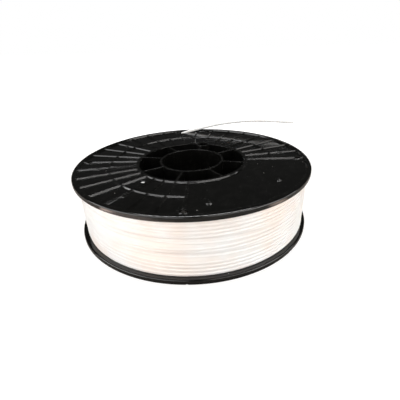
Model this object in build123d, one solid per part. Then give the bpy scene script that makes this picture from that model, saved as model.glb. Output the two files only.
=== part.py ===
from build123d import *
from math import pi, radians, tan
import os

# Filament spool: two moulded halves that lap at mid width, wound with printer filament.
# Millimetres. +Z runs along the bore from the lower flange to the upper one, the driving
# hole lies on +X, and the origin is the middle of the face that the lower rim stands on.

# Overall sizes
flange_diameter = 200.0
overall_width = 53.5
bore_diameter = 52.0
barrel_diameter = 96.0
driving_hole_diameter = 10.0
driving_hole_radius = 44.5

# Flange: a plate inside a taller rim, with ribs on its outer face
rim_height = 4.3
rim_width = 3.5
rim_edge_radius = 1.2
rim_inner_slope = 0.8
plate_thickness = 2.7
rib_setback = 0.5
rib_foot_width = 2.2
rib_top_width = 1.2
rib_edge_radius = 0.25
rib_count = 32
mid_ring_radius = 70.5
plain_sector_first_rib = 7
plain_sector_last_rib = 15

# Hub: a bore tube held in the barrel by radial webs
barrel_wall = 2.6
hub_ring_slope = 0.5
hub_ring_chamfer = 0.5
bore_tube_wall = 1.6
web_thickness = 1.5
web_count = 8
driving_tube_wall = 1.3
lap_length = 4.0
lap_clearance = 0.1

# Small features of the flange plate
boss_radius = 81.0
boss_diameter = 5.4
boss_height = 0.7
boss_slope = 0.5
boss_hole_diameter = 2.2
boss_hole_depth = 0.5
boss_count = 8
end_hole_radius = 91.5
end_hole_diameter = 5.2
end_hole_collar_wall = 0.9
end_hole_collar_height = 0.8
end_hole_count = 4
start_hole_radius = 55.5
start_hole_angle = 207.3
start_hole_diameter = 5.0
exit_slot_radius = 92.9
exit_slot_angle = -20.5
exit_slot_length = 19.0
exit_slot_width = 4.6
index_notch_width = 1.8
index_notch_depth = 2.2
index_notch_height = 1.0
index_notch_angle = -168.75

# Filament
filament_diameter = 2.85
winding_diameter = 195.0
winding_edge_radius = 1.4
winding_clearance = 0.12
start_end_recess = 0.7
start_end_lean = 18.0
free_end_route = [
    (83.5, 42.0, 47.0),
    (87.5, 33.0, 51.5),
    (93.0, 13.0, 56.0),
    (97.5, -12.5, 61.0),
    (99.0, -40.0, 64.0),
    (97.5, -66.0, 64.5),
    (95.0, -87.5, 64.0),
]

# Worked out from the sizes above
flange_radius = flange_diameter / 2
bore_radius = bore_diameter / 2
barrel_radius = barrel_diameter / 2
barrel_inner_radius = barrel_radius - barrel_wall
bore_tube_radius = bore_radius + bore_tube_wall
driving_tube_radius = driving_hole_diameter / 2 + driving_tube_wall
rim_inner_radius = flange_radius - rim_width
half_width = overall_width / 2
floor_depth = rim_height - plate_thickness
rib_pitch = 360 / rib_count
web_pitch = 360 / web_count
lap_radius = barrel_radius - barrel_wall / 2
plain_from = plain_sector_first_rib * rib_pitch
plain_to = plain_sector_last_rib * rib_pitch
overlap = 0.3


def turned(part, angle):
    """A part turned about the bore."""
    return Rot(0, 0, angle) * part


def tube(outer, inner, low, high):
    """A round tube about the bore from one height to another."""
    ring = Circle(outer) - Circle(inner)
    return extrude(Pos(0, 0, low) * ring, high - low)


def at_polar(radius, angle, height=0.0):
    """The place at a radius and an angle round the bore, turned to face outwards."""
    return Rot(0, 0, angle) * Pos(radius, 0, height)


def rib_profile():
    """Section of a rib: sloped sides, rounded top edges, standing down from the plate."""
    foot = rib_foot_width / 2
    top = rib_top_width / 2
    base = floor_depth + overlap
    outline = Polyline(
        (-foot, base),
        (-foot, floor_depth),
        (-top, rib_setback),
        (top, rib_setback),
        (foot, floor_depth),
        (foot, base),
        close=True,
    )
    face = make_face(outline)
    corners = [v for v in face.vertices() if v.Y < floor_depth]
    return fillet(corners, rib_edge_radius)


def radial_rib():
    """One rib along +X, from the barrel wall to the rim."""
    start = barrel_radius - barrel_wall / 2
    length = rim_inner_radius + overlap - start
    plane = Plane(origin=(start, 0, 0), x_dir=(0, 1, 0), z_dir=(1, 0, 0))
    return extrude(plane * rib_profile(), length)


def mid_ring():
    """The rib that runs round the ribbed part of the plate, from one border rib to the other."""
    profile = Plane.XZ * Pos(mid_ring_radius, 0) * rib_profile()
    ring = revolve(profile, Axis.Z, 360 - (plain_to - plain_from))
    return turned(ring, plain_to)


def shell():
    """Rim, plate and barrel wall, revolved as one wall round the bore."""
    r = rim_edge_radius
    with BuildSketch(Plane.XZ) as section:
        with BuildLine():
            Polyline(
                (barrel_inner_radius, half_width),
                (barrel_inner_radius, rib_setback + hub_ring_chamfer),
                (barrel_inner_radius + hub_ring_chamfer, rib_setback),
                (barrel_radius, rib_setback),
                (barrel_radius + hub_ring_slope, floor_depth),
                (rim_inner_radius - rim_inner_slope, floor_depth),
                (rim_inner_radius, 0),
                (flange_radius - r, 0),
            )
            RadiusArc((flange_radius - r, 0), (flange_radius, r), -r)
            Line((flange_radius, r), (flange_radius, rim_height - r))
            RadiusArc((flange_radius, rim_height - r), (flange_radius - r, rim_height), -r)
            Polyline(
                (flange_radius - r, rim_height),
                (barrel_radius, rim_height),
                (barrel_radius, half_width),
                (barrel_inner_radius, half_width),
            )
        make_face()
    return revolve(section.sketch, Axis.Z)


def lap_cut():
    """What the socket half's barrel gives up to the spigot half's skirt."""
    high = half_width + overlap
    return tube(barrel_radius + overlap, lap_radius, half_width - lap_length - lap_clearance, high)


def lap_skirt():
    """The spigot half's skirt, clear of the driving tube that it passes."""
    low = half_width - overlap
    skirt = tube(barrel_radius, lap_radius + lap_clearance, low, half_width + lap_length)
    clear = Circle(driving_tube_radius + lap_clearance)
    room = extrude(Pos(driving_hole_radius, 0, half_width) * clear, lap_length + overlap)
    return skirt - room


def hub():
    """Bore tube, webs and driving tube, from their ends to mid width."""
    height = half_width - rib_setback
    middle = rib_setback + height / 2
    web_start = bore_radius + bore_tube_wall / 2
    web_end = barrel_inner_radius + overlap
    web = Pos((web_start + web_end) / 2, 0, middle) * Box(web_end - web_start, web_thickness, height)
    parts = [tube(bore_tube_radius, bore_radius, rib_setback, half_width)]
    parts += [turned(web, k * web_pitch) for k in range(web_count)]
    driving_tube = Pos(driving_hole_radius, 0, middle) * Cylinder(driving_tube_radius, height)
    return parts + [driving_tube]


def low_boss(foot_radius, height):
    """A boss with a sloped side, standing down from the plate by its height."""
    middle = floor_depth - height / 2
    foot = Pos(0, 0, floor_depth + overlap / 2) * Cylinder(foot_radius, overlap)
    return foot + Pos(0, 0, middle) * Cone(foot_radius - boss_slope, foot_radius, height)


def plate_bosses():
    """Low round bosses on the plate, midway between the webs."""
    boss = low_boss(boss_diameter / 2, boss_height)
    return [at_polar(boss_radius, (k + 0.5) * web_pitch) * boss for k in range(boss_count)]


def boss_holes():
    """Blind holes in the bosses."""
    hole = Cylinder(boss_hole_diameter / 2, boss_hole_depth)
    height = floor_depth - boss_height + boss_hole_depth / 2
    return [at_polar(boss_radius, (k + 0.5) * web_pitch, height) * hole for k in range(boss_count)]


def end_hole_places():
    """Where the holes that hold a filament end lie, on the border ribs and opposite them."""
    pitch = 360 / end_hole_count
    return [at_polar(end_hole_radius, plain_from + k * pitch) for k in range(end_hole_count)]


def end_hole_collars():
    """Low collars round the end holes."""
    collar = low_boss(end_hole_diameter / 2 + end_hole_collar_wall, end_hole_collar_height)
    return [place * collar for place in end_hole_places()]


def plate_holes():
    """Holes through the plate: end holes, the start hole and the exit slot."""
    depth = rim_height * 2
    holes = [place * Cylinder(end_hole_diameter / 2, depth) for place in end_hole_places()]
    holes.append(at_polar(start_hole_radius, start_hole_angle) * Cylinder(start_hole_diameter / 2, depth))
    slot = extrude(SlotOverall(exit_slot_length, exit_slot_width, rotation=90), depth, both=True)
    holes.append(at_polar(exit_slot_radius, exit_slot_angle) * slot)
    return holes


def bores():
    """The bore and the driving hole."""
    bore = Cylinder(bore_radius, overall_width * 2)
    driving_hole = Pos(driving_hole_radius, 0, 0) * Cylinder(driving_hole_diameter / 2, overall_width * 2)
    return [bore, driving_hole]


def spool_half(is_spigot):
    """One moulded half with its outer face at z = 0 and its mid-width face above."""
    body = shell()
    if not is_spigot:
        body -= lap_cut()
    ribs = [
        turned(radial_rib(), k * rib_pitch)
        for k in range(rib_count)
        if not plain_sector_first_rib < k < plain_sector_last_rib
    ]
    body += ribs + [mid_ring()] + plate_bosses() + end_hole_collars() + hub()
    if is_spigot:
        body += lap_skirt()
    return body - (bores() + boss_holes() + plate_holes())


def index_notch():
    """A notch in the lower rim's standing edge that marks the moulding's front."""
    notch = Box(index_notch_depth * 2, index_notch_width, index_notch_height * 2)
    return at_polar(flange_radius, index_notch_angle) * notch


def lower_half():
    return spool_half(True) - index_notch()


def upper_half():
    """The socket half, turned over about the axis through the driving hole."""
    return Pos(0, 0, overall_width) * Rot(180, 0, 0) * spool_half(False)


def winding_top():
    return overall_width - rim_height - winding_clearance


def filament_winding():
    """The outer shape of the wound filament, wound over the driving tube's bulge."""
    low = rim_height + winding_clearance
    inner = barrel_radius + winding_clearance
    ring = tube(winding_diameter / 2, inner, low, winding_top())
    circles = ring.edges().filter_by(GeomType.CIRCLE)
    outer_edges = [e for e in circles if e.radius > winding_diameter / 2 - overlap]
    ring = fillet(outer_edges, winding_edge_radius)
    bulge = Cylinder(driving_tube_radius + winding_clearance, overall_width)
    bulge = Pos(driving_hole_radius, 0, half_width) * bulge
    return ring - bulge


def filament_start_end():
    """The inner end of the filament, poked into the start hole."""
    floor = overall_width - floor_depth
    height = floor - start_end_recess - winding_top()
    lean = Rot(0, start_end_lean, 0)
    rod = lean * Cylinder(filament_diameter / 2, height * 3)
    room = Box(start_hole_diameter * 2, start_hole_diameter * 2, height)
    stub = rod & room
    return at_polar(start_hole_radius, -start_hole_angle, winding_top() + height / 2) * stub


def corner_radii(route):
    """Radii of a route's corners: each as large as its two runs allow."""
    points = [Vector(*p) for p in route]
    radii = []
    for before, corner, after in zip(points, points[1:], points[2:]):
        run_in = corner - before
        run_out = after - corner
        shorter = min(run_in.length, run_out.length)
        turn = radians(run_in.get_angle(run_out))
        radii.append(0.45 * shorter / tan(turn / 2))
    return radii


def filament_free_end():
    """The outer end, out through the upper flange's exit slot and over its rim."""
    radii = corner_radii(free_end_route)
    path = FilletPolyline(*free_end_route, radius=radii)
    start = Plane(origin=free_end_route[0], z_dir=path % 0)
    strand = sweep(start * Circle(filament_diameter / 2), path)
    section = pi * filament_diameter**2 / 4
    print("free end: length %.1f, volume over section %.1f" % (path.length, strand.volume / section))
    print("free end radii:", [round(r, 1) for r in radii])
    below = winding_top() - overall_width / 2
    inside = Pos(0, 0, below) * Box(3 * flange_diameter, 3 * flange_diameter, overall_width)
    return strand - inside


nodes = {
    "lower_spool_half": lower_half(),
    "upper_spool_half": upper_half(),
    "filament_winding": filament_winding(),
    "filament_start_end": filament_start_end(),
    "filament_free_end": filament_free_end(),
}

os.makedirs("parts", exist_ok=True)
for name, part in nodes.items():
    export_step(part, os.path.join("parts", name + ".step"))
    box = part.bounding_box()
    print(name, "volume %.0f, solids %d" % (part.volume, len(part.solids())))
    print("    z %.2f to %.2f" % (box.min.Z, box.max.Z))
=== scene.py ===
import bpy
import bmesh
import random
from math import cos, pi, radians, sin
from mathutils import Matrix, Vector


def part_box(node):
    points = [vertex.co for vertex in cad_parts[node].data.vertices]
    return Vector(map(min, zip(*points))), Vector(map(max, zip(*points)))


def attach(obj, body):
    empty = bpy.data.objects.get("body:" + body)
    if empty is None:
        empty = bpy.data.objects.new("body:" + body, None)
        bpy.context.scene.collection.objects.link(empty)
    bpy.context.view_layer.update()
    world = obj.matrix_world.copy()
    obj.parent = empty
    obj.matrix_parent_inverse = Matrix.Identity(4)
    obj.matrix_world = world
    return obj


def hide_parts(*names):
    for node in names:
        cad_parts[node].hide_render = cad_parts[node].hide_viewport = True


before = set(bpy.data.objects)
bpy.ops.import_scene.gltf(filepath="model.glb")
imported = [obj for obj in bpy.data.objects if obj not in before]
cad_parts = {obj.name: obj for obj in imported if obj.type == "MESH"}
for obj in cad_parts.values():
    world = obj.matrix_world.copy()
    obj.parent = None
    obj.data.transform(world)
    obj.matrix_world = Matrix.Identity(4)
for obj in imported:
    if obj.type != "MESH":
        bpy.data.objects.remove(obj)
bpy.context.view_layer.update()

# Camera. It stands at table height in front of the spool and looks down on the upper flange.
# The spool's driving hole is turned away from it, to the far side.
view_turn = Matrix.Rotation(radians(-75.8), 4, "Z")
camera_place = Vector((0.00594, -0.25920, 0.14760))
camera_aim = Vector((0.00594, 0.0, 0.01240))
camera_roll = radians(-2.344)

camera = bpy.data.objects.new("camera", bpy.data.cameras.new("camera"))
camera.data.lens = 28.06
camera.data.sensor_width = 36.0
look = (camera_aim - camera_place).to_track_quat("-Z", "Y").to_matrix().to_4x4()
roll = Matrix.Rotation(camera_roll, 4, "Z")
camera.matrix_world = view_turn @ Matrix.Translation(camera_place) @ look @ roll
bpy.context.scene.collection.objects.link(camera)
bpy.context.scene.camera = camera


# The two spool halves. Each is one injection moulding in black plastic with a smooth, glossy
# face, and they lap inside the winding. Their shape is the CAD model's own.
class Value:
    """A socket of a material. Arithmetic on it adds Math nodes, and node() adds any other."""

    def __init__(self, tree, socket=None):
        self.tree = tree
        self.socket = socket

    def node(self, kind, sockets, output=0, **settings):
        made = self.tree.nodes.new("ShaderNode" + kind)
        for name, setting in settings.items():
            setattr(made, name, setting)
        for name, given in sockets.items():
            if isinstance(given, Value):
                self.tree.links.new(given.socket, made.inputs[name])
            else:
                made.inputs[name].default_value = given
        return Value(self.tree, made.outputs[output])

    def maths(self, operation, *values):
        return self.node("Math", dict(enumerate(values)), operation=operation)

    def __add__(self, other):
        return self.maths("ADD", self, other)

    def __sub__(self, other):
        return self.maths("SUBTRACT", self, other)

    def __mul__(self, other):
        return self.maths("MULTIPLY", self, other)

    def __lt__(self, other):
        return self.maths("LESS_THAN", self, other)

    def __gt__(self, other):
        return self.maths("GREATER_THAN", self, other)

    __radd__ = __add__
    __rmul__ = __mul__

    def between(self, low, high):
        """0 at low, 1 at high, and smooth in between."""
        sockets = {"Value": self, "From Min": low, "From Max": high}
        return self.node("MapRange", sockets, interpolation_type="SMOOTHSTEP")

    def mix(self, first, second):
        """One colour where this is 0, another where it is 1."""
        return self.node("Mix", {0: self, 6: first, 7: second}, output=2, data_type="RGBA")


def new_material(name):
    """A material, its shader and its object coordinates, ready for values."""
    material = bpy.data.materials.new(name)
    material.use_nodes = True
    shader = material.node_tree.nodes["Principled BSDF"]
    start = Value(material.node_tree)
    return material, shader, start.node("TexCoord", {}, output="Object")


def feed(shader, **values):
    """Links values to the shader's sockets, or sets them."""
    for name, given in values.items():
        socket = shader.inputs[name.replace("_", " ")]
        if isinstance(given, Value):
            given.tree.links.new(given.socket, socket)
        else:
            socket.default_value = given


def give(piece, material):
    """Puts one material on a piece."""
    piece.data.materials.clear()
    piece.data.materials.append(material)


def scratches(place, angle, length, spacing, width):
    """Fine straight scratches that run one way and break off."""
    stretch = (1 / length, 1 / spacing, 20)
    turned = place.node("Mapping", {"Vector": place, "Rotation": (0, 0, angle), "Scale": stretch})
    wavy = place.node("TexNoise", {"Vector": turned, "Scale": 1.3, "Detail": 1.0})
    cells = {"Vector": turned, "Scale": 1.0, "Randomness": 1.0}
    line = place.node("TexVoronoi", cells, feature="DISTANCE_TO_EDGE")
    return line.between(width, 0.0) * wavy.between(0.52, 0.62)


black_plastic, shader, place = new_material("black_moulded_plastic")
black = (0.0024, 0.0024, 0.0021, 1)
worn_black = (0.020, 0.0195, 0.018, 1)
worn_edge = (0.050, 0.049, 0.045, 1)
dust = (0.22, 0.21, 0.19, 1)
broad = place.node("TexNoise", {"Vector": place, "Scale": 22.0, "Detail": 3.0})
grain = place.node("TexNoise", {"Vector": place, "Scale": 2600.0, "Detail": 2.0})
haze = place.node("TexNoise", {"Vector": place, "Scale": 140.0, "Detail": 4.0, "Roughness": 0.6})
marks = scratches(place, 0.5, 0.016, 0.0022, 0.020) + scratches(place, -0.9, 0.022, 0.0031, 0.016)
speck_cells = {"Vector": place, "Scale": 210.0}
speck_distance = place.node("TexVoronoi", speck_cells)
speck_colour = place.node("TexVoronoi", speck_cells, output="Color")
speck_chance = place.node("SeparateColor", {"Color": speck_colour})
speck = (speck_distance < 0.07) * (speck_chance > 0.96)
rounded = place.node("Bevel", {"Radius": 0.0003}, samples=4)
flat = place.node("NewGeometry", {}, output="Normal")
turn = place.node("VectorMath", {0: rounded, 1: flat}, output="Value", operation="DOT_PRODUCT")
edge = turn.between(0.995, 0.90) * haze.between(0.35, 0.6)
colour = (haze.between(0.4, 0.8) * 0.12 + marks * 0.3).mix(black, worn_black)
colour = (edge * 0.7).mix(colour, worn_edge)
colour = speck.mix(colour, dust)
rough = 0.08 + broad.between(0.3, 0.7) * 0.05 + haze * 0.05 + marks * 0.12 + speck * 0.3
height = grain * 0.03 - marks * 0.1 + haze * 0.05 + broad * 1.2
relief = {"Strength": 0.3, "Distance": 0.0001, "Height": height, "Normal": rounded}
feed(shader, Base_Color=colour, Roughness=rough, Normal=place.node("Bump", relief), IOR=1.53)

for name in ("lower_spool_half", "upper_spool_half"):
    give(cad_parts[name], black_plastic)


# The wound filament. One extruded plastic strand lies turn beside turn over the full width, and
# each turn steps up beside the last one. The outer layer is made turn by turn, round a plain
# drum that stands for the layers under it.
filament_radius = 0.001425
turn_pitch = 0.00288
flange_clearance = 0.0001
steps_per_turn = 144
winding_low, winding_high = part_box("filament_winding")
crest_allowance = 0.0008
turn_radius = winding_high.x - filament_radius - crest_allowance
fuller_side = view_turn @ Vector((0.00042, 0.00042, 0))
first_turn_angle = radians(14)


def wound_turns():
    """The middle line of the outer layer: level turns joined by short steps up."""
    draw = random.Random(7)
    low = winding_low.z + filament_radius + flange_clearance
    room = winding_high.z - filament_radius - flange_clearance - low
    count = int(room / turn_pitch)
    gaps = [draw.uniform(0.5, 1.5) for _ in range(count)]
    spare = (room - count * 2 * filament_radius) / sum(gaps)
    line = []
    height = low
    sunk = 0.0
    for gap in gaps + [0.0]:
        climb_by = 2 * filament_radius + gap * spare if gap else 0.0
        sunk_after = draw.choice((0.0, 0.00002, 0.00005, 0.00012))
        climb_from = draw.uniform(0.30, 0.62)
        phase = draw.uniform(0, 2 * pi)
        lobes = draw.choice((2, 3, 5))
        for i in range(steps_per_turn):
            share = i / steps_per_turn
            climb = min(1.0, max(0.0, (share - climb_from) / 0.2))
            climb = climb * climb * (3 - 2 * climb)
            angle = first_turn_angle - 2 * pi * share
            wander = 0.00006 * sin(lobes * 2 * pi * share + phase) * sin(pi * share)
            radius = turn_radius - sunk - (sunk_after - sunk) * climb + wander
            x = radius * cos(angle) + fuller_side.x
            y = radius * sin(angle) + fuller_side.y
            line.append((x, y, height + climb_by * climb + wander))
        height += climb_by
        sunk = sunk_after
    return line


def strand_mesh(line):
    """A mesh of a round strand along a line of points."""
    curve = bpy.data.curves.new("wound_filament", "CURVE")
    curve.dimensions = "3D"
    curve.bevel_depth = filament_radius
    curve.bevel_resolution = 3
    curve.use_fill_caps = True
    spline = curve.splines.new("POLY")
    spline.points.add(len(line) - 1)
    for point, co in zip(spline.points, line):
        point.co = (*co, 1)
    holder = bpy.data.objects.new("wound_filament", curve)
    mesh = bpy.data.meshes.new_from_object(holder)
    bpy.data.objects.remove(holder)
    return mesh


winding_mesh = strand_mesh(wound_turns())
shape = bmesh.new()
shape.from_mesh(winding_mesh)
drum_radius = turn_radius + 0.0005
drum_bore = 0.0484
drum_section = [
    shape.verts.new((drum_bore, 0, winding_low.z)),
    shape.verts.new((drum_radius, 0, winding_low.z)),
    shape.verts.new((drum_radius, 0, winding_high.z)),
    shape.verts.new((drum_bore, 0, winding_high.z)),
]
outline = [shape.edges.new(ends) for ends in zip(drum_section, drum_section[1:] + drum_section[:1])]
bore_line = {"cent": (0, 0, 0), "axis": (0, 0, 1)}
bmesh.ops.spin(shape, geom=drum_section + outline, angle=2 * pi, steps=96, use_merge=True, **bore_line)
bmesh.ops.recalc_face_normals(shape, faces=shape.faces)
sharpest_smooth_edge = 1.0
for face in shape.faces:
    face.smooth = True
for edge_line in shape.edges:
    edge_line.smooth = edge_line.calc_face_angle(0) < sharpest_smooth_edge
shape.to_mesh(winding_mesh)
shape.free()
wound_filament = bpy.data.objects.new("wound_filament", winding_mesh)
bpy.context.scene.collection.objects.link(wound_filament)


def filament_material(name, pale, tinted):
    """White extruded plastic: a smooth skin, slow changes of tint, and some light inside."""
    material, shader, place = new_material(name)
    drift = place.node("TexNoise", {"Vector": place, "Scale": 26.0, "Detail": 2.0})
    skin = place.node("TexNoise", {"Vector": place, "Scale": 900.0, "Detail": 2.0})
    swell = place.node("TexNoise", {"Vector": place, "Scale": 120.0, "Detail": 1.0})
    colour = drift.between(0.38, 0.68).mix(pale, tinted)
    relief = place.node("Bump", {"Strength": 0.25, "Distance": 0.0001, "Height": skin * 0.3 + swell})
    feed(shader, Base_Color=colour, Roughness=0.3 + skin * 0.12, Normal=relief, IOR=1.46)
    feed(shader, Subsurface_Weight=0.3, Subsurface_Scale=0.0015, Subsurface_Radius=(1.0, 0.9, 0.8))
    return material


white = (0.93, 0.92, 0.90, 1)
warm_white = (0.92, 0.82, 0.75, 1)
white_filament = filament_material("white_filament", white, warm_white)
give(wound_filament, white_filament)
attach(wound_filament, "root")
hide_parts("filament_winding")

# The inner end of the filament. It was poked into the start hole before winding began, and its
# cut end lies just inside the hole. Both loose ends get a darker copy of the white filament
# material: painted shade, so that they don't glare whiter than the winding under the lamps.
lone_white_painted_shade = (0.71, 0.71, 0.70, 1)
lone_warm_white_painted_shade = (0.70, 0.68, 0.66, 1)
lone_filament_painted_shade = filament_material("lone_filament_painted_shade", lone_white_painted_shade, lone_warm_white_painted_shade)
give(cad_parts["filament_start_end"], lone_filament_painted_shade)

# The free end of the filament. It comes out through the upper flange's exit slot and keeps the
# bend of the winding, so it stands off the rim as a stiff arc, and it ends in a plain cut.
free_end_route = [
    (0.0835, 0.0420, 0.0470),
    (0.0875, 0.0330, 0.0515),
    (0.0930, 0.0130, 0.0560),
    (0.0975, -0.0125, 0.0610),
    (0.0990, -0.0400, 0.0640),
    (0.0975, -0.0660, 0.0645),
    (0.0950, -0.0875, 0.0640),
]
strand = bpy.data.curves.new("filament_loose_end", "CURVE")
strand.dimensions = "3D"
strand.bevel_depth = filament_radius
strand.bevel_resolution = 6
strand.resolution_u = 16
strand.use_fill_caps = True
spline = strand.splines.new("NURBS")
spline.points.add(len(free_end_route) - 1)
for point, co in zip(spline.points, free_end_route):
    point.co = (*co, 1)
spline.order_u = 3
spline.use_endpoint_u = True
loose_end = bpy.data.objects.new("filament_loose_end", strand)
bpy.context.scene.collection.objects.link(loose_end)
# The free end also gets the darker copy of the filament material: painted shade against the lamps.
give(loose_end, lone_filament_painted_shade)
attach(loose_end, "root")
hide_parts("filament_free_end")


# Floor and light. A plain white sweep, two broad soft lamps at the front, two low ones at the
# sides for the winding, a narrow one overhead that draws the line of light along the rims, and
# three small ones on the floor whose warm light the rim shows.
shape = bmesh.new()
bmesh.ops.create_grid(shape, x_segments=1, y_segments=1, size=4.0)
floor_mesh = bpy.data.meshes.new("floor")
shape.to_mesh(floor_mesh)
shape.free()
floor = bpy.data.objects.new("floor", floor_mesh)
bpy.context.scene.collection.objects.link(floor)

white_floor = bpy.data.materials.new("white_floor")
white_floor.use_nodes = True
tree = white_floor.node_tree
start = Value(tree)
seen = start.node("LightPath", {}, output="Is Camera Ray")
place = start.node("TexCoord", {}, output="Object")
away = start.node("VectorMath", {0: place}, output="Value", operation="LENGTH")
matt = start.node("BsdfDiffuse", {"Color": (0.30, 0.275, 0.25, 1)})
bright = start.node("Emission", {"Strength": 2.45})
bright_share = seen * (0.36 + away.between(0.15, 0.5) * 0.64)
surface = start.node("MixShader", {0: bright_share, 1: matt, 2: bright})
tree.links.new(surface.socket, tree.nodes["Material Output"].inputs["Surface"])
give(floor, white_floor)


def lamp(name, place, aim, width, height, power, colour=(1, 1, 1)):
    """A rectangular lamp, placed as the camera sees the room."""
    light = bpy.data.lights.new(name, "AREA")
    light.shape = "RECTANGLE"
    light.size = width
    light.size_y = height
    light.energy = power
    light.color = colour
    holder = bpy.data.objects.new(name, light)
    turn = (Vector(aim) - Vector(place)).to_track_quat("-Z", "Y").to_matrix().to_4x4()
    holder.matrix_world = view_turn @ Matrix.Translation(place) @ turn
    holder.visible_camera = False
    bpy.context.scene.collection.objects.link(holder)


middle = (0, 0, 0.03)
lamp("left_lamp", (-0.80, -0.64, 0.50), middle, 2.0, 0.7, 13.0)
lamp("right_lamp", (0.72, -0.72, 0.50), middle, 1.4, 0.7, 8.0, (1, 0.97, 0.94))
lamp("low_left_lamp", (-0.95, -0.35, 0.12), middle, 1.0, 0.2, 2.6)
lamp("low_right_lamp", (0.95, -0.35, 0.12), middle, 1.0, 0.2, 3.6)
lamp("top_lamp", (0.0, 0.24, 1.05), middle, 1.0, 0.15, 11.0)
lamp("left_glow", (-0.150, -0.100, 0.002), (-0.150, -0.100, 1), 0.02, 0.05, 0.016, (1, 0.78, 0.68))
lamp("left_patch", (-0.085, -0.135, 0.002), (-0.085, -0.135, 1), 0.12, 0.06, 0.026, (1, 0.84, 0.76))
lamp("right_glow", (0.149, -0.092, 0.002), (0.149, -0.092, 1), 0.02, 0.05, 0.010, (1, 0.78, 0.66))

world = bpy.data.worlds.new("studio")
bpy.context.scene.world = world
world.use_nodes = True
sky = world.node_tree
start = Value(sky)
seen = start.node("LightPath", {}, output="Is Camera Ray")
fill = start.node("Background", {"Color": (1, 1, 1, 1), "Strength": 0.035})
clear = start.node("Background", {"Color": (1, 1, 1, 1), "Strength": 1.0})
both = start.node("MixShader", {0: seen, 1: fill, 2: clear})
sky.links.new(both.socket, sky.nodes["World Output"].inputs["Surface"])

bpy.context.scene.view_settings.view_transform = "Standard"
